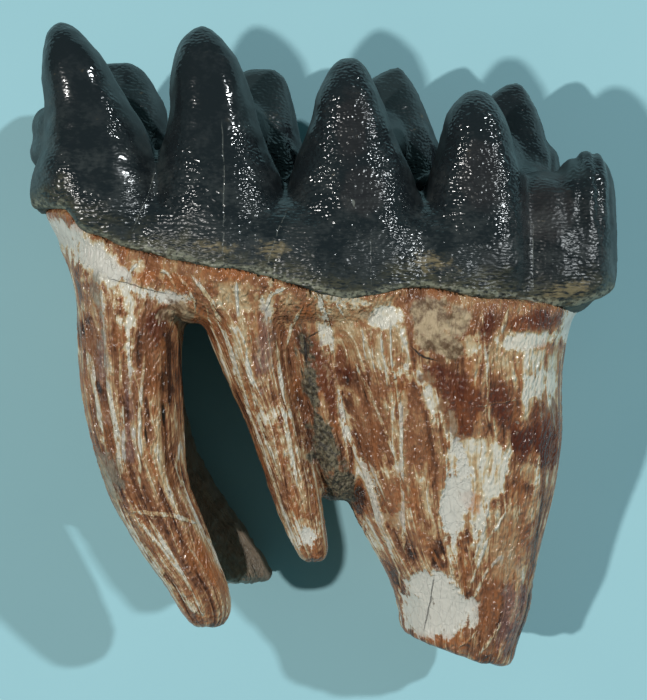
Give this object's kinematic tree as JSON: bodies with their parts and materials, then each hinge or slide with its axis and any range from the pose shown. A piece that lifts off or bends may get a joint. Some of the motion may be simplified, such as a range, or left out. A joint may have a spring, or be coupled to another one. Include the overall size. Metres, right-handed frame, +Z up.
{
  "type": "fossil mastodon molar",
  "caption": "Fossil mastodon molar lying on its side: black enamel crown of pointed cusps in crosswise ridges, above long tapering ribbed brown roots.",
  "frame": {"origin": "middle of the box's base, on the surface that the tooth lies on", "axes": "+X from the front end of the crown to its heel, +Y from the root tips to the biting surface, +Z up from the tongue side to the cheek side"},
  "size_m": [0.1774, 0.1942, 0.0891],
  "materials": {
    "tooth": "varnished fossil: black enamel crown, brown and cream roots"
  },
  "bodies": {
    "root": {"tooth": "tooth"}
  },
  "joints": []
}
